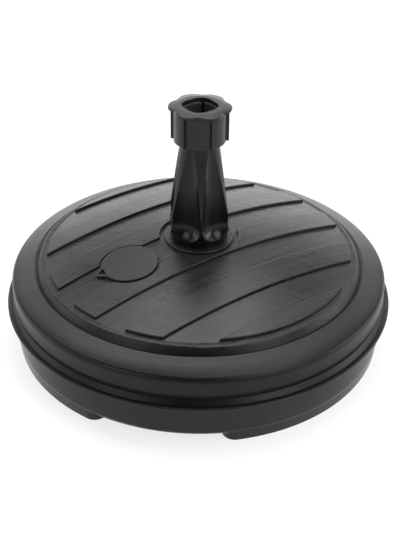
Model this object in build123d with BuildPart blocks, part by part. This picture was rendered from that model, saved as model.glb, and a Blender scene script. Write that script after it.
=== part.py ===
from build123d import *
import os
from math import asin, atan2, cos, degrees, hypot, pi, radians, sin, sqrt, tan

# Fillable parasol base: a welded two-shell tank on three moulded feet, a fluted tube that
# snaps into its middle, and a nut that closes a split collet on the parasol's pole.
# Millimetres, +Z up, origin at the middle of the base on the ground.

# Driving dimensions
base_radius = 225.0         # widest point, the rims where the two shells meet
lip_z = 53.0                # underside of the cover's rim
wall = 3.0                  # moulded wall
total_height = 288.0        # top of the clamp nut
overrun = 1.0               # how far a cut runs past the face it opens
edge_break = 0.4            # small bevel on a rim

# Pan
floor_z = 10.0              # underside of the pan's floor
pan_top_radius = 214.0
pan_foot_radius = 216.5     # the drum widens a little towards the floor
pan_bulge = 0.8             # how far its side bows out
pan_edge_radius = 6.7
pan_inner_bevel = 2.0
rim_thickness = 2.4
rib_height = 5.0            # locating rib inside the cover
rib_thickness = 2.2
foot_outer_radius = 214.6
foot_width = 42.0
foot_arc = 83.0             # degrees of each foot
foot_count = 3
foot_start = -82.6          # where the first foot begins, degrees from +X
foot_draft = 1.6            # how far each side leans out up to the top of the pan's lower edge
foot_corner = 14.0
foot_edge = 1.2

# Cover
lip_height = 1.4            # the cover's rim
lip_inset = 0.7             # the pan's rim stands this far out under it
flare_radius = 220.4        # foot of the flare that rises from the rim
waist_radius = 216.6        # its top, the narrowest part of the side
waist_z = lip_z + 6.8
side_low_z = lip_z + 13.0
side_radius = 217.6
side_top_z = lip_z + 27.3
bend_radius = 7.8           # tight bend at the top of the side, then a wide one
bend_end_slope = 32.0       # degrees below level where the tight bend ends
shoulder_bend_radius = 50.0
shoulder_slope = 18.0       # degrees below level
ridge_radius = 192.0        # fine ridge at the foot of the step
step_foot_radius = 188.8
step_foot_drop = 1.0
plate_radius = 183.7
plate_z = lip_z + 50.0
plate_edge = 2.5
dome_radius = 177.5
dome_rise = 21.5

# Boards on the cover
board_pitch = 69.8
board_width = 33.8
board_offset = 37.2         # middle of the board next to the tube
board_angle = 35.5
board_rise = 3.0
board_clip_radius = 176.5
board_edge = 1.2            # rounding of a board's top edge
board_side_count = 3        # boards on each side of the middle

# Boss, well and pole
pole_bore = 17.75           # clear radius for the pole
boss_radius = 40.5
boss_gap_radius = 45.5
collar_bore = 30.0
collar_depth = 7.0
boss_z = lip_z + 73.2
boss_edge = 1.3
drain_radius = 4.0

# Filler
filler_distance = 94.5
filler_bore = 25.0
filler_neck = 11.0
neck_wall = 2.4
seat_radius = 34.4
cap_radius = 32.3
cap_thickness = 2.8
seat_rise = 0.15            # the seat's height over the dome
cap_gap = 0.4
cap_margin = 1.5            # gap between the cap's loop and the board it lies in
loop_angle = -155.0
loop_tip = 35.0             # middle of the finger loop's tip
loop_tip_radius = 5.5
loop_root_inset = 5.0
loop_root_radius = 9.5
loop_hole_tip = 35.5        # rounded triangle that a finger nail hooks into
loop_hole_tip_radius = 1.9
loop_hole_root = 31.5
loop_hole_corner = 1.7
loop_hole_spread = 3.1

# Tube
tube_base_radius = 33.0
tube_base_height = 6.5
fin_radius = 36.2
fin_low_z = boss_z + 15.0
fin_high_z = boss_z + 36.0
neck_radius = 22.5
flute_count = 6
flute_angle = -56.0         # middle of one flute, degrees from +X
neck_low_z = boss_z + 114.0
flute_top_z = boss_z + 125.0
flute_end_z = boss_z + 28.0
flute_top_radius = 10.0     # scoop radius and the radius of the flute's floor, above and below
flute_end_radius = 28.0
flute_floor_top = 21.2
flute_floor_end = 25.2
tube_wall = 2.8
spigot_length = 11.0
snap_bead = 0.8

# Clamp: nut, thread and collet
nut_height = 40.3
nut_plate = 4.6
nut_skirt_radius = 29.0
nut_rib_radius = 32.0
nut_rib_width = 2.1
nut_angle = -4.3            # how far the nut is turned at rest
mouth_half = 18.0           # the mouth is a square with very round corners
mouth_corner = 13.4
mouth_notch = 2.8           # notch in the middle of each corner, and how far out it reaches
mouth_notch_reach = 20.5
lobe_count = 6
lobe_mean_radius = 33.1
lobe_swing = 2.1
lobe_sharpness = 0.5        # makes the lobes broad and the notches narrow
lobe_steps = 6              # outline points in each lobe
flange_edge = 1.3
camber_start = 25.0         # radius where the flange starts to fall towards its edge
camber_end = 40.0
camber = 1.5
thread_pitch = 6.0
thread_root = 23.2
thread_depth = 1.4
thread_turns = 3.0
thread_foot = 0.5           # how far a thread is sunk in its cylinder
thread_half_base = 1.75
thread_half_tip = 0.8
thread_play = 0.35
thread_low_z = total_height - 33.0
neck_top_z = total_height - 11.2
seat_depth = 24.0           # cone in the neck that closes the collet
seat_top_radius = 20.3
seat_low_radius = 19.5
collet_flange_radius = 22.6
collet_flange = 3.1
collet_ring = 4.5
collet_bevel = 0.8
jaw_slot = 3.0
jaw_count = 4
jaw_angle = -9.0
fit_gap = 0.1
loose_gap = 0.3

os.makedirs("parts", exist_ok=True)

dome_sphere = (dome_radius**2 + dome_rise**2) / (2 * dome_rise)
dome_centre_z = plate_z + dome_rise - dome_sphere


def dome_z(radius, rise=0.0):
    """Height of the cover's dome at a radius, raised by rise."""
    return dome_centre_z + sqrt((dome_sphere + rise) ** 2 - radius**2)


def at_angle(radius, angle, z=0.0):
    return Vector(radius * cos(radians(angle)), radius * sin(radians(angle)), z)


def on_arc(centre, radius, angle):
    """Point of the half section at an angle above the level on an arc."""
    return (centre[0] + radius * cos(radians(angle)), centre[1] + radius * sin(radians(angle)))


def draw_cover(inset):
    """Half section of the cover, drawn on the X-Z plane; inset moves it inwards."""
    tight = bend_radius - inset
    wide = shoulder_bend_radius - inset
    tight_centre = (side_radius - bend_radius, side_top_z)
    spread = shoulder_bend_radius - bend_radius
    bend_end = 90 - bend_end_slope
    shoulder_start = 90 - shoulder_slope
    wide_centre = on_arc(tight_centre, -spread, bend_end)
    bend_top = on_arc(tight_centre, tight, bend_end)
    shoulder_top = on_arc(wide_centre, wide, shoulder_start)
    ridge = (ridge_radius, shoulder_top[1] + (shoulder_top[0] - ridge_radius) * tan(radians(shoulder_slope)))
    step_foot = (step_foot_radius, ridge[1] - step_foot_drop)
    edge = (plate_radius - inset, plate_z - inset * 0.7)
    brim = (dome_radius, plate_z - inset)
    crown = (0, plate_z + dome_rise - inset)
    side_top = (side_radius - inset, side_top_z)
    side_low = (side_radius - inset, side_low_z)
    waist = (waist_radius - inset, waist_z)
    if inset:
        foot = (waist_radius - inset, lip_z - inset)
        Polyline(foot, waist, side_low, side_top)
    else:
        foot = (base_radius - lip_inset, lip_z)
        rim_top = lip_z + lip_height
        Polyline(foot, (base_radius - lip_inset, rim_top), (flare_radius, rim_top), waist)
        Polyline(waist, side_low, side_top)
    ThreePointArc(side_top, on_arc(tight_centre, tight, bend_end / 2), bend_top)
    ThreePointArc(bend_top, on_arc(wide_centre, wide, (bend_end + shoulder_start) / 2), shoulder_top)
    Polyline(shoulder_top, ridge, step_foot, edge, brim)
    half = dome_radius / 2
    ThreePointArc(brim, (half, dome_z(half, -inset)), crown)
    Polyline(crown, (0, foot[1]), foot)


# ---------------------------------------------------------------- filler position
filler_angle = board_angle - 180
tilt = asin(filler_distance / dome_sphere)
filler_normal = at_angle(sin(tilt), filler_angle, cos(tilt))
filler_origin = at_angle(filler_distance, filler_angle, dome_z(filler_distance))
filler_plane = Plane(origin=filler_origin, x_dir=at_angle(cos(tilt), filler_angle, -sin(tilt)),
                     z_dir=filler_normal)
loop_turn = radians(loop_angle - filler_angle)
loop_along = filler_plane.x_dir * cos(loop_turn) + filler_plane.y_dir * sin(loop_turn)
cap_plane = Plane(origin=filler_origin, x_dir=loop_along, z_dir=filler_normal)


def draw_loop(extra):
    """Outline of the cap's finger loop, grown by extra."""
    with Locations((loop_tip, 0)):
        Circle(loop_tip_radius + extra)
    with Locations((cap_radius - loop_root_inset, 0)):
        Circle(loop_root_radius + extra)
    make_hull()


# ---------------------------------------------------------------- boards
with BuildPart() as boards:
    with BuildSketch(Plane.XZ):
        with BuildLine():
            inner_low = (boss_gap_radius, dome_z(boss_gap_radius, -overrun))
            inner_high = (boss_gap_radius, dome_z(boss_gap_radius, board_rise))
            outer_high = (board_clip_radius, dome_z(board_clip_radius, board_rise))
            outer_low = (board_clip_radius, dome_z(board_clip_radius, -overrun))
            half = board_clip_radius / 2
            ThreePointArc(inner_high, (half, dome_z(half, board_rise)), outer_high)
            Line(outer_high, outer_low)
            ThreePointArc(outer_low, (half, dome_z(half, -overrun)), inner_low)
            Line(inner_low, inner_high)
        make_face()
    revolve(axis=Axis.Z)
    with BuildSketch(Plane.XY.offset(plate_z - board_rise)):
        for number in range(-board_side_count, board_side_count):
            offset_line = board_offset + number * board_pitch
            with Locations(at_angle(offset_line, board_angle + 90)):
                Rectangle(2 * base_radius, board_width, rotation=board_angle)
    extrude(amount=dome_rise + 3 * board_rise, mode=Mode.INTERSECT)
    with BuildSketch(filler_plane.offset(-2 * board_rise)):
        Circle(seat_radius)
    extrude(amount=4 * board_rise, mode=Mode.SUBTRACT)
    with BuildSketch(cap_plane.offset(-2 * board_rise)):
        draw_loop(cap_margin)
    extrude(amount=4 * board_rise, mode=Mode.SUBTRACT)
    for board in boards.solids():
        broad_faces = board.faces().sort_by(SortBy.AREA)[-2:]
        fillet(broad_faces.sort_by(Axis.Z)[-1].outer_wire().edges(), board_edge)

# ---------------------------------------------------------------- cover
with BuildPart() as upper_shell:
    with BuildSketch(Plane.XZ):
        with BuildLine():
            draw_cover(0)
        make_face()
    revolve(axis=Axis.Z)
    plate_rim = upper_shell.edges().filter_by(GeomType.CIRCLE).filter_by(
        lambda edge: abs(edge.radius - plate_radius) < fit_gap)
    fillet(plate_rim, plate_edge)
    with BuildSketch(Plane.XZ):
        with BuildLine():
            draw_cover(wall)
        make_face()
    revolve(axis=Axis.Z, mode=Mode.SUBTRACT)
    add(boards.part)
    # raised ring round the tube, and the collar that the tube snaps into
    with BuildSketch(Plane.XY.offset(boss_z - collar_depth)):
        Circle(boss_radius)
    extrude(amount=collar_depth)
    boss_rim = upper_shell.edges().filter_by(GeomType.CIRCLE).filter_by(
        lambda edge: abs(edge.radius - boss_radius) < fit_gap and edge.center().Z > boss_z - fit_gap)
    fillet(boss_rim, boss_edge)
    with BuildSketch(Plane.XY.offset(boss_z - collar_depth - overrun)):
        Circle(collar_bore)
    extrude(amount=collar_depth + 2 * overrun, mode=Mode.SUBTRACT)
    # flat seat and neck of the filler hole
    with BuildSketch(filler_plane.offset(-wall)):
        Circle(seat_radius)
    extrude(amount=wall + seat_rise)
    with BuildSketch(filler_plane.offset(-filler_neck)):
        Circle(filler_bore + neck_wall)
    extrude(amount=filler_neck - wall / 2)
    with BuildSketch(filler_plane.offset(-filler_neck - overrun)):
        Circle(filler_bore)
    extrude(amount=filler_neck + 2 * overrun, mode=Mode.SUBTRACT)
upper_shell.part.label = "upper_shell"
export_step(upper_shell.part, "parts/upper_shell.step")

# ---------------------------------------------------------------- pan
column_radius = pole_bore + wall
cup_bore = collar_bore + 2.0
cup_radius = cup_bore + wall
cup_top = boss_z - collar_depth
cup_low = cup_top - 3 * wall


def upright_edges(shape):
    """Edges that climb most of the foot's height."""
    return shape.edges().filter_by(lambda edge: edge.bounding_box().size.Z > floor_z / 2)


foot_top = floor_z + pan_edge_radius
with BuildPart() as foot:
    with BuildSketch(Plane.XZ):
        inner = foot_outer_radius - foot_width
        Polygon((inner, 0), (foot_outer_radius, 0), (foot_outer_radius + foot_draft, foot_top),
                (inner - foot_draft, foot_top), align=None)
    revolve(axis=Axis.Z, revolution_arc=foot_arc)
    fillet(upright_edges(foot), foot_corner)
    fillet(foot.faces().sort_by(Axis.Z)[0].edges(), foot_edge)

pocket_turn = degrees(wall / foot_outer_radius)
pocket_rise = floor_z + overrun
pocket_draft = foot_draft * pocket_rise / foot_top
with BuildPart() as foot_pocket:
    with BuildSketch(Plane.XZ):
        inner = foot_outer_radius - foot_width + wall
        outer = foot_outer_radius - wall
        Polygon((inner, wall), (outer, wall), (outer + pocket_draft, wall + pocket_rise),
                (inner - pocket_draft, wall + pocket_rise), align=None)
    revolve(axis=Axis.Z, revolution_arc=foot_arc - 2 * pocket_turn)
    fillet(upright_edges(foot_pocket), foot_corner - wall)

rim_z = lip_z - rim_thickness
corner = pan_foot_radius - pan_edge_radius
corner_turn = pan_edge_radius * (1 - cos(pi / 4))
bulge_radius = (pan_foot_radius + pan_top_radius) / 2 + pan_bulge
bulge_z = (floor_z + lip_z) / 2

with BuildPart() as lower_shell:
    with BuildSketch(Plane.XZ):
        with BuildLine():
            low = (corner, floor_z)
            side = (pan_foot_radius, floor_z + pan_edge_radius)
            top = (pan_top_radius, rim_z)
            Line((0, floor_z), low)
            ThreePointArc(low, (pan_foot_radius - corner_turn, floor_z + corner_turn), side)
            ThreePointArc(side, (bulge_radius, bulge_z), top)
            Polyline(top, (base_radius - edge_break, rim_z), (base_radius, rim_z + edge_break),
                     (base_radius, lip_z - edge_break), (base_radius - edge_break, lip_z),
                     (0, lip_z), (0, floor_z))
        make_face()
    revolve(axis=Axis.Z)
    with PolarLocations(0, foot_count, start_angle=foot_start):
        add(foot.part)
    # hollow of the pan and of its feet
    with BuildSketch(Plane.XZ):
        with BuildLine():
            floor_top = floor_z + wall
            side = (pan_foot_radius - wall, floor_top + pan_inner_bevel)
            top = (pan_top_radius - wall, lip_z)
            Polyline((0, floor_top), (side[0] - pan_inner_bevel, floor_top), side)
            ThreePointArc(side, (bulge_radius - wall, bulge_z), top)
            Polyline(top, (0, lip_z), (0, floor_top))
        make_face()
    revolve(axis=Axis.Z, mode=Mode.SUBTRACT)
    with PolarLocations(0, foot_count, start_angle=foot_start + pocket_turn):
        add(foot_pocket.part, mode=Mode.SUBTRACT)
    # rib that finds its place inside the cover
    rib_radius = waist_radius - wall - loose_gap
    with BuildSketch(Plane.XY.offset(lip_z - overrun)):
        Circle(rib_radius)
        Circle(rib_radius - rib_thickness, mode=Mode.SUBTRACT)
    extrude(amount=rib_height + overrun)
    # column round the pole, with a cup that closes on the cover's collar
    with BuildSketch(Plane.XZ):
        Polygon((pole_bore, floor_z + overrun), (column_radius, floor_z + overrun),
                (column_radius, cup_low - 1.5 * wall), (cup_radius, cup_low + wall / 2),
                (cup_radius, cup_top), (cup_bore, cup_top), (cup_bore, cup_low + wall),
                (pole_bore, cup_low - wall), align=None)
    revolve(axis=Axis.Z)
    with BuildSketch(Plane.XY.offset(floor_z - overrun)):
        Circle(drain_radius)
    extrude(amount=wall + 2 * overrun, mode=Mode.SUBTRACT)
lower_shell.part.label = "lower_shell"
export_step(lower_shell.part, "parts/lower_shell.step")

# ---------------------------------------------------------------- filler cap
plug_radius = filler_bore - 0.5
plug_wall = 2.4
plug_bevel = 0.8
plug_end = -filler_neck - 1.0
plug_root = cap_gap + 0.5
bead_radius = filler_bore - 0.08
bead_low = -7.0
bead_high = -5.0
cap_bevel = 0.6
cap_section = Plane(origin=cap_plane.origin, x_dir=cap_plane.x_dir, z_dir=-cap_plane.y_dir)
cap_top = cap_gap + cap_thickness

with BuildPart() as filler_cap:
    with BuildSketch(cap_section):
        Polygon((0, cap_gap), (cap_radius, cap_gap), (cap_radius, cap_top - cap_bevel),
                (cap_radius - cap_bevel, cap_top), (0, cap_top), align=None)
        with BuildLine():
            plug_inside = plug_radius - plug_wall
            bead_middle = (bead_low + bead_high) / 2
            Polyline((plug_inside, plug_root), (plug_inside, plug_end), (plug_radius - plug_bevel, plug_end),
                     (plug_radius, plug_end + 2 * plug_bevel), (plug_radius, bead_low))
            ThreePointArc((plug_radius, bead_low), (bead_radius, bead_middle), (plug_radius, bead_high))
            Polyline((plug_radius, bead_high), (plug_radius, plug_root), (plug_inside, plug_root))
        make_face()
    revolve(axis=Axis(filler_origin, filler_normal))
    # finger loop
    with BuildSketch(cap_plane.offset(cap_gap)):
        draw_loop(0)
        Circle(plug_radius - plug_bevel, mode=Mode.SUBTRACT)
    extrude(amount=cap_thickness - cap_bevel)
    with BuildSketch(cap_plane.offset(cap_gap - overrun)):
        with Locations((loop_hole_tip, 0)):
            Circle(loop_hole_tip_radius)
        with Locations((loop_hole_root, loop_hole_spread), (loop_hole_root, -loop_hole_spread)):
            Circle(loop_hole_corner)
        make_hull()
    extrude(amount=cap_thickness + 2 * overrun, mode=Mode.SUBTRACT)
filler_cap.part.label = "filler_cap"
export_step(filler_cap.part, "parts/filler_cap.step")

def draw_thread(foot_radius, tip_radius, height):
    """Section of a thread round one height, from its foot to its tip."""
    Polygon((foot_radius, height - thread_half_base), (tip_radius, height - thread_half_tip),
            (tip_radius, height + thread_half_tip), (foot_radius, height + thread_half_base), align=None)


# ---------------------------------------------------------------- tube
nut_low_z = total_height - nut_height
spigot_bore = collar_bore - 3.2
snap_z = cup_top - 1.6
slit_width = 3.0
slit_depth = 8.0


def make_fluted_sector(outline, extra):
    """One sixth of the tube, from its half section: a flute in the middle, half a fin on each side.

    The flute is a leaning cone with a round foot, grown by extra.
    """
    sector_arc = 360 / flute_count
    foot_reach = flute_floor_end + flute_end_radius
    head_reach = flute_floor_top + flute_top_radius
    span = hypot(foot_reach - head_reach, flute_top_z - flute_end_z)
    lean = atan2(foot_reach - head_reach, flute_top_z - flute_end_z)
    side = lean + asin((flute_end_radius - flute_top_radius) / span)
    foot_size = flute_end_radius + extra
    head_size = flute_top_radius + extra
    foot_side = (foot_reach + foot_size * cos(side), flute_end_z + foot_size * sin(side))
    foot_tip = (foot_reach + foot_size * sin(lean), flute_end_z - foot_size * cos(lean))
    foot_round = (foot_reach + foot_size * cos(side - pi / 4), flute_end_z + foot_size * sin(side - pi / 4))
    head_side = (head_reach + head_size * cos(side), flute_top_z + head_size * sin(side))
    with BuildPart() as flute:
        with BuildSketch(Plane.XZ):
            with BuildLine():
                Polyline(foot_tip, (head_reach, flute_top_z), head_side, foot_side)
                ThreePointArc(foot_side, foot_round, foot_tip)
            make_face()
        revolve(axis=Axis((foot_reach, 0, flute_end_z), (-sin(lean), 0, cos(lean))))
    with BuildPart() as sector:
        with BuildSketch(Plane.XZ):
            with BuildLine():
                Polyline(*outline, close=True)
            make_face()
        revolve(axis=Axis.Z, revolution_arc=sector_arc)
        with Locations(Rotation(0, 0, sector_arc / 2)):
            add(flute.part, mode=Mode.SUBTRACT)
    return sector.part


sector_start = flute_angle - 180 / flute_count
base_top_z = boss_z + tube_base_height
inner_fin = fin_radius - tube_wall
inner_neck = neck_radius - tube_wall
plain_z = nut_low_z + 0.5
spigot_low = boss_z - spigot_length
spigot_edge = collar_bore - loose_gap
bead_edge = spigot_edge + snap_bead
core_low = spigot_low - overrun
core_high = plain_z + overrun
core_outline = [(0, core_low), (spigot_bore, core_low), (spigot_bore, base_top_z),
                (inner_fin, fin_low_z + 1.0), (inner_fin, fin_high_z - 1.0),
                (inner_neck, neck_low_z - 1.0), (inner_neck, core_high), (0, core_high)]
# the spigot's bead snaps under the cover's collar
tube_outline = [(0, spigot_low), (spigot_edge - edge_break, spigot_low), (bead_edge, snap_z - 1.0),
                (bead_edge, snap_z), (spigot_edge, snap_z + 1.0), (spigot_edge, boss_z),
                (tube_base_radius, boss_z), (tube_base_radius, base_top_z),
                (tube_base_radius + 1.0, base_top_z + 2.0), (fin_radius - 0.6, fin_low_z - 3.0),
                (fin_radius, fin_low_z), (fin_radius, fin_high_z), (neck_radius, neck_low_z),
                (neck_radius, plain_z), (0, plain_z)]

with BuildPart() as tube_sector:
    add(make_fluted_sector(tube_outline, 0))
    add(make_fluted_sector(core_outline, tube_wall), mode=Mode.SUBTRACT)

with BuildPart() as pole_tube:
    with PolarLocations(0, flute_count, start_angle=sector_start):
        add(tube_sector.part)
    # plain neck that carries the thread, with the cone inside it that closes the collet
    with BuildSketch(Plane.XZ):
        seat_low = neck_top_z - seat_depth
        Polygon((inner_neck, plain_z), (neck_radius, plain_z), (neck_radius, nut_low_z + 2.0),
                (thread_root, nut_low_z + 3.0), (thread_root, neck_top_z - collet_bevel),
                (thread_root - collet_bevel, neck_top_z), (seat_top_radius, neck_top_z),
                (seat_low_radius, seat_low), align=None)
    revolve(axis=Axis.Z)
    # slits that let the snap spigot give
    with BuildSketch(Plane.XY.offset(core_low)):
        with PolarLocations(collar_bore, flute_count, start_angle=flute_angle):
            Rectangle(slit_depth, slit_width)
    extrude(amount=spigot_length - overrun, mode=Mode.SUBTRACT)
    # thread
    with BuildLine():
        Helix(thread_pitch, thread_pitch * thread_turns, thread_root, center=(0, 0, thread_low_z))
    with BuildSketch(Plane.XZ):
        draw_thread(thread_root - thread_foot, thread_root + thread_depth, thread_low_z)
    sweep(is_frenet=True)
pole_tube.part.label = "pole_tube"
export_step(pole_tube.part, "parts/pole_tube.step")

# ---------------------------------------------------------------- collet
nut_ceiling = total_height - nut_plate
flange_top = nut_ceiling - loose_gap
flange_low = flange_top - collet_flange
collet_low = neck_top_z - seat_depth + 2.0
seat_slope = (seat_top_radius - seat_low_radius) / (seat_depth + 1)


def seat_radius_at(height):
    return seat_low_radius + seat_slope * (height - neck_top_z + seat_depth)


with BuildPart() as clamp_collet:
    with BuildSketch(Plane.XZ):
        shank = seat_radius_at(neck_top_z) - fit_gap
        Polygon((pole_bore, collet_low), (seat_radius_at(collet_low) - fit_gap, collet_low),
                (shank, neck_top_z), (shank, flange_low), (collet_flange_radius, flange_low),
                (collet_flange_radius, flange_top - collet_bevel),
                (collet_flange_radius - collet_bevel, flange_top), (pole_bore + collet_bevel, flange_top),
                (pole_bore, flange_top - collet_bevel), align=None)
    revolve(axis=Axis.Z)
    with BuildSketch(Plane.XY.offset(collet_low + collet_ring)):
        with PolarLocations(pole_bore, jaw_count, start_angle=jaw_angle):
            Rectangle(4 * wall, jaw_slot)
    extrude(amount=nut_height, mode=Mode.SUBTRACT)
clamp_collet.part.label = "clamp_collet"
export_step(clamp_collet.part, "parts/clamp_collet.step")

# ---------------------------------------------------------------- nut
nut_bore = thread_root + thread_depth + thread_play
nut_thread_tip = nut_bore - thread_depth
nut_bead_bore = seat_radius_at(neck_top_z) + loose_gap
nut_counterbore = nut_bore + 0.6
nut_pocket = collet_flange_radius + loose_gap
nut_thread_z = thread_low_z - thread_pitch / 2
rib_depth = 5.0

with BuildPart() as clamp_nut:
    # lobed flange, cambered towards its edge
    with BuildSketch(Plane.XY.offset(nut_ceiling)):
        with BuildLine():
            outline = []
            for step in range(lobe_count * lobe_steps):
                turn = 360 * step / lobe_steps
                angle = turn / lobe_count
                reach = lobe_mean_radius + lobe_swing * cos(radians(turn))
                reach -= lobe_sharpness * cos(radians(2 * turn))
                outline.append(at_angle(reach, angle + nut_angle))
            Spline(*outline, periodic=True)
        make_face()
    extrude(amount=nut_plate)
    with BuildSketch(Plane.XZ):
        Polygon((camber_start, total_height), (camber_end, total_height - camber),
                (camber_end, total_height + overrun), (camber_start, total_height + overrun), align=None)
    revolve(axis=Axis.Z, mode=Mode.SUBTRACT)
    fillet(clamp_nut.edges().filter_by(lambda edge: edge.length > 2 * pi * camber_start), flange_edge)
    # skirt and its ribs, one under each lobe
    with BuildSketch(Plane.XY.offset(nut_low_z)):
        Circle(nut_skirt_radius)
        with PolarLocations(nut_rib_radius - rib_depth / 2, lobe_count, start_angle=nut_angle):
            Rectangle(rib_depth, nut_rib_width)
    extrude(amount=nut_height - nut_plate + loose_gap)
    # bore, and the bead that carries the collet
    with BuildSketch(Plane.XZ):
        bead_low = neck_top_z + 2 * loose_gap
        bead_top = flange_low - loose_gap
        Polygon((0, nut_low_z - overrun), (nut_counterbore, nut_low_z - overrun),
                (nut_counterbore, nut_low_z + 1.0), (nut_bore, nut_low_z + 1.6), (nut_bore, bead_low),
                (nut_bead_bore, bead_low), (nut_bead_bore, bead_top), (nut_pocket, bead_top),
                (nut_pocket, nut_ceiling), (0, nut_ceiling), align=None)
    revolve(axis=Axis.Z, mode=Mode.SUBTRACT)
    # mouth
    with BuildSketch(Plane.XY.offset(nut_ceiling - overrun)):
        RectangleRounded(2 * mouth_half, 2 * mouth_half, mouth_corner, rotation=jaw_angle + 45)
        with PolarLocations(mouth_notch_reach / 2, jaw_count, start_angle=jaw_angle):
            Rectangle(mouth_notch_reach, mouth_notch)
    extrude(amount=nut_plate + 2 * overrun, mode=Mode.SUBTRACT)
    # thread, half a pitch away from the tube's
    with BuildLine():
        Helix(thread_pitch, thread_pitch * thread_turns, nut_bore, center=(0, 0, nut_thread_z))
    with BuildSketch(Plane.XZ):
        draw_thread(nut_bore + thread_foot, nut_thread_tip, nut_thread_z)
    sweep(is_frenet=True)
clamp_nut.part.label = "clamp_nut"
export_step(clamp_nut.part, "parts/clamp_nut.step")
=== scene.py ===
import math

import bpy
from mathutils import Matrix, Vector

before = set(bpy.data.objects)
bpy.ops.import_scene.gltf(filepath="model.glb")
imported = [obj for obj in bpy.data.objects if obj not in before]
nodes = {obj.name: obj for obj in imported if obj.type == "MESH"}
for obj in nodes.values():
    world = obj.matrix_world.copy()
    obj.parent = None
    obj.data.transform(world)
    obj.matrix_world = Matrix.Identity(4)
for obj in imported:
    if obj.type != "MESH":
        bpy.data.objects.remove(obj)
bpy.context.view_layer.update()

# ---------------------------------------------------------------- values
# Plastics
PLATE_RADIUS = 0.1845               # the boards' plate ends here and the smooth shoulder begins
PLATE_FADE = 0.002
BOARD_TURN = math.radians(35.5)     # direction of the boards
SCRATCH_TURN = -BOARD_TURN + 0.9    # the scratches cross the grain
TINT = (1.0, 1.0, 1.03)             # the plastics are a touch blue
MIDDLE = (0.3, 0.7)                 # the part of a noise's range that is used
CLOUD_SCALE = 14.0                  # size of the mottling of the small parts
COVER_RELIEF = 0.00025              # metres
COVER_LEVEL = 0.22
SHOULDER_ROUGH = 0.30

# Floor, backdrop and lights
FLOOR_SIZE = 40.0
FLOOR_SHADE = 0.25
FLOOR_GLOW = 0.75
SKY_GLOW = 0.03
SKY_FADE = (0.04, 0.22)             # sine of the height where the backdrop starts and ends to fade
LIGHT_TARGET = Vector((0.0, 0.0, 0.1))
NEAR, FAR, LOW = 2.2, 2.4, 2.0      # distances of the lights
SQUARE = (1.0, 1.0)
STRIP = (1.2, 0.4)

# Camera
PITCH, YAW, ROLL = (math.radians(angle) for angle in (32.98, 0.0855, 0.548))
CAMERA_PLACE = (0.0, -1.040, 0.7563)
FOCAL_PIXELS, FRAME_HEIGHT, SENSOR = 1050.0, 533.0, 36.0


# ---------------------------------------------------------------- node helpers
def new_material(name):
    material = bpy.data.materials.new(name)
    material.use_nodes = True
    tree = material.node_tree
    tree.nodes.clear()
    output = tree.nodes.new("ShaderNodeOutputMaterial")
    shader = tree.nodes.new("ShaderNodeBsdfPrincipled")
    tree.links.new(shader.outputs["BSDF"], output.inputs["Surface"])
    return material, tree, shader


def feed(tree, socket, value):
    """Gives a socket a number, or links another node's output to it."""
    if isinstance(value, (int, float)):
        socket.default_value = value
    else:
        tree.links.new(value, socket)


def math_node(tree, operation, *values):
    node = tree.nodes.new("ShaderNodeMath")
    node.operation = operation
    for socket, value in zip(node.inputs, values):
        feed(tree, socket, value)
    return node.outputs[0]


def mapping(tree, vector, slot, value):
    node = tree.nodes.new("ShaderNodeMapping")
    node.vector_type = "POINT"
    node.inputs[slot].default_value = value
    tree.links.new(vector, node.inputs["Vector"])
    return node.outputs["Vector"]


def object_point(tree, turn=0.0, stretch=(1.0, 1.0, 1.0)):
    """The surface point in the object's own frame, turned about +Z and then scaled."""
    coordinates = tree.nodes.new("ShaderNodeTexCoord")
    turned = mapping(tree, coordinates.outputs["Object"], "Rotation", (0.0, 0.0, turn))
    return mapping(tree, turned, "Scale", stretch)


def noise(tree, vector, scale, detail=2.0, roughness=0.5):
    node = tree.nodes.new("ShaderNodeTexNoise")
    node.inputs["Scale"].default_value = scale
    node.inputs["Detail"].default_value = detail
    node.inputs["Roughness"].default_value = roughness
    tree.links.new(vector, node.inputs["Vector"])
    return node.outputs["Fac"]


def spread(tree, value, low, high, source=MIDDLE):
    """Maps a value in the source range onto the range low to high, and holds it there."""
    node = tree.nodes.new("ShaderNodeMapRange")
    node.inputs["From Min"].default_value = source[0]
    node.inputs["From Max"].default_value = source[1]
    node.inputs["To Min"].default_value = low
    node.inputs["To Max"].default_value = high
    tree.links.new(value, node.inputs["Value"])
    return node.outputs["Result"]


def mixed(tree, factor, first, second):
    """Number mix: first where factor is 0, second where it is 1."""
    node = tree.nodes.new("ShaderNodeMix")
    node.data_type = "FLOAT"
    tree.links.new(factor, node.inputs["Factor"])
    feed(tree, node.inputs["A"], first)
    feed(tree, node.inputs["B"], second)
    return node.outputs["Result"]


def grey(tree, value):
    """A near-neutral colour from a brightness."""
    node = tree.nodes.new("ShaderNodeCombineColor")
    for channel, share in zip(("Red", "Green", "Blue"), TINT):
        tree.links.new(math_node(tree, "MULTIPLY", value, share), node.inputs[channel])
    return node.outputs["Color"]


def bump(tree, height, distance):
    node = tree.nodes.new("ShaderNodeBump")
    node.inputs["Distance"].default_value = distance
    node.inputs["Strength"].default_value = 1.0
    tree.links.new(height, node.inputs["Height"])
    return node.outputs["Normal"]


# ---------------------------------------------------------------- plastics
def moulded_plastic(name, shade, rough, stipple_scale, stipple_depth, level):
    """Moulded black plastic: a fine stipple, uneven gloss and slightly mottled colour."""
    material, tree, shader = new_material(name)
    point = object_point(tree)
    cloud = noise(tree, point, CLOUD_SCALE, 4.0)
    fine = noise(tree, point, stipple_scale, 2.0, 0.6)
    colour = grey(tree, spread(tree, cloud, shade * 0.85, shade * 1.15))
    tree.links.new(colour, shader.inputs["Base Color"])
    tree.links.new(spread(tree, cloud, rough - 0.05, rough + 0.05), shader.inputs["Roughness"])
    tree.links.new(bump(tree, fine, stipple_depth), shader.inputs["Normal"])
    shader.inputs["Specular IOR Level"].default_value = level
    return material


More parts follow.
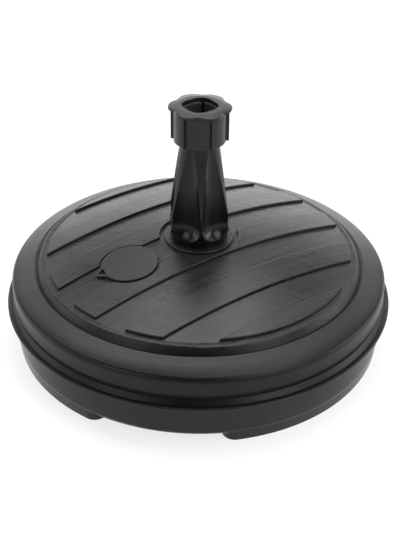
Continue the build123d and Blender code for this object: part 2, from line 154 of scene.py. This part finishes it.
def cover_plastic():
    """The cover: wood grain and scratches on the boards and plate, and a stippled shoulder
    outside, coloured darker than the plate as painted shade.
    """
    material, tree, shader = new_material("cover_plastic")
    point = object_point(tree)
    split = tree.nodes.new("ShaderNodeSeparateXYZ")
    tree.links.new(point, split.inputs["Vector"])
    squares = [math_node(tree, "POWER", split.outputs[axis], 2.0) for axis in ("X", "Y")]
    radius = math_node(tree, "SQRT", math_node(tree, "ADD", *squares))
    outside = spread(tree, radius, 0.0, 1.0, (PLATE_RADIUS, PLATE_RADIUS + PLATE_FADE))

    grain = noise(tree, object_point(tree, -BOARD_TURN, (5.0, 380.0, 40.0)), 1.0, 5.0, 0.65)
    scratch = noise(tree, object_point(tree, SCRATCH_TURN, (7.0, 1100.0, 30.0)), 1.0)
    stipple = noise(tree, point, 900.0, 2.0, 0.6)
    cloud = noise(tree, point, 9.0, 4.0)

    # the shoulder outside the plate is coloured darker than the plate though it is the same
    # plastic: painted shade for its shaded side. The grain and mottling are the plastic's own
    plate_shade = math_node(tree, "ADD", spread(tree, cloud, 0.010, 0.015),
                            spread(tree, grain, -0.006, 0.006))
    shade = mixed(tree, outside, plate_shade, spread(tree, cloud, 0.004, 0.006))
    tree.links.new(grey(tree, shade), shader.inputs["Base Color"])

    plate_rough = math_node(tree, "ADD", spread(tree, scratch, 0.26, 0.38),
                            spread(tree, grain, -0.07, 0.07))
    rough = mixed(tree, outside, plate_rough, SHOULDER_ROUGH)
    tree.links.new(rough, shader.inputs["Roughness"])

    grain_height = math_node(tree, "MULTIPLY", math_node(tree, "ADD", grain, scratch), 0.7)
    height = mixed(tree, outside, grain_height, stipple)
    tree.links.new(bump(tree, height, COVER_RELIEF), shader.inputs["Normal"])
    shader.inputs["Specular IOR Level"].default_value = COVER_LEVEL
    return material


# each: shade, roughness, stipple scale, stipple depth, specular level
paints = {
    "upper_shell": cover_plastic(),
    "lower_shell": moulded_plastic("pan_plastic", 0.013, 0.24, 700.0, 0.00006, 0.26),
    "filler_cap": moulded_plastic("cap_plastic", 0.019, 0.34, 1100.0, 0.00008, 0.20),
    "pole_tube": moulded_plastic("tube_plastic", 0.005, 0.20, 500.0, 0.00004, 0.24),
    "clamp_nut": moulded_plastic("nut_plastic", 0.015, 0.32, 1000.0, 0.00008, 0.26),
    # the collet is coloured lighter than the other black parts: painted light that brightens the
    # shaded mouth of the nut
    "clamp_collet": moulded_plastic("collet_plastic", 0.040, 0.40, 900.0, 0.00010, 0.22),
}
for node_name, material in paints.items():
    mesh = nodes[node_name].data
    mesh.materials.clear()
    mesh.materials.append(material)

# ---------------------------------------------------------------- floor and backdrop
bpy.ops.mesh.primitive_plane_add(size=FLOOR_SIZE, location=(0.0, 0.0, 0.0))
floor = bpy.context.object
floor.name = "studio_floor"
floor_material, floor_tree, floor_shader = new_material("studio_floor")
floor_shader.inputs["Base Color"].default_value = (FLOOR_SHADE, FLOOR_SHADE, FLOOR_SHADE, 1.0)
floor_shader.inputs["Emission Color"].default_value = (1.0, 1.0, 1.0, 1.0)
floor_shader.inputs["Emission Strength"].default_value = FLOOR_GLOW
floor_shader.inputs["Roughness"].default_value = 0.9
floor_shader.inputs["Specular IOR Level"].default_value = 0.1
floor.data.materials.append(floor_material)

# a pale backdrop all round, as bright as the floor, that fades out above the horizon
world = bpy.data.worlds.new("studio")
bpy.context.scene.world = world
world.use_nodes = True
sky_tree = world.node_tree
background = sky_tree.nodes["Background"]
background.inputs["Color"].default_value = (1.0, 1.0, 1.0, 1.0)
sky_split = sky_tree.nodes.new("ShaderNodeSeparateXYZ")
sky_direction = sky_tree.nodes.new("ShaderNodeTexCoord")
sky_tree.links.new(sky_direction.outputs["Generated"], sky_split.inputs["Vector"])
backdrop = spread(sky_tree, sky_split.outputs["Z"], FLOOR_GLOW, SKY_GLOW, SKY_FADE)
sky_tree.links.new(backdrop, background.inputs["Strength"])


# ---------------------------------------------------------------- lights
def softbox(name, azimuth, elevation, distance, size, power):
    """An area light round the object, facing a point a little above its middle."""
    data = bpy.data.lights.new(name, "AREA")
    data.shape = "RECTANGLE"
    data.size, data.size_y = size
    data.energy = power
    light = bpy.data.objects.new(name, data)
    azimuth, elevation = math.radians(azimuth), math.radians(elevation)
    level_reach = math.cos(elevation)
    away = Vector((level_reach * math.cos(azimuth), level_reach * math.sin(azimuth),
                   math.sin(elevation)))
    light.location = LIGHT_TARGET + distance * away
    light.rotation_euler = (-away).to_track_quat("-Z", "Y").to_euler()
    bpy.context.scene.collection.objects.link(light)


softbox("back_high", 90.0, 60.0, NEAR, SQUARE, 27.0)
softbox("back_left_high", 150.0, 60.0, NEAR, SQUARE, 18.0)
softbox("back_right_high", 30.0, 60.0, NEAR, SQUARE, 12.0)
softbox("back_low", 90.0, 16.0, FAR, (2.2, 0.6), 15.0)
softbox("back_ground", 90.0, 5.0, FAR, (3.0, 0.35), 10.0)
softbox("back_left", 135.0, 28.0, NEAR, SQUARE, 8.5)
softbox("back_right", 45.0, 28.0, NEAR, SQUARE, 8.0)
softbox("right", 0.0, 28.0, NEAR, SQUARE, 4.0)
softbox("right_low", 0.0, 8.0, LOW, STRIP, 8.0)
softbox("left", 180.0, 28.0, NEAR, SQUARE, 3.0)
softbox("left_low", 180.0, 8.0, LOW, STRIP, 4.0)
softbox("front_right", -45.0, 28.0, NEAR, SQUARE, 14.0)
softbox("front_right_high", -30.0, 60.0, NEAR, SQUARE, 12.0)
softbox("front_left", 225.0, 28.0, NEAR, SQUARE, 8.0)
softbox("top", 90.0, 90.0, NEAR, SQUARE, 11.0)

# ---------------------------------------------------------------- camera
forward = Vector((math.sin(YAW) * math.cos(PITCH), math.cos(YAW) * math.cos(PITCH),
                  -math.sin(PITCH)))
level = Vector((math.cos(YAW), -math.sin(YAW), 0.0))
upward = level.cross(forward)
right = math.cos(ROLL) * level + math.sin(ROLL) * upward
upright = -math.sin(ROLL) * level + math.cos(ROLL) * upward
camera_data = bpy.data.cameras.new("camera")
camera_data.sensor_width = SENSOR
camera_data.sensor_fit = "AUTO"
camera_data.lens = FOCAL_PIXELS * SENSOR / FRAME_HEIGHT
camera = bpy.data.objects.new("camera", camera_data)
turn = Matrix((right, upright, -forward)).transposed().to_4x4()
camera.matrix_world = Matrix.Translation(CAMERA_PLACE) @ turn
bpy.context.scene.collection.objects.link(camera)
bpy.context.scene.camera = camera
bpy.context.scene.view_settings.view_transform = "Standard"
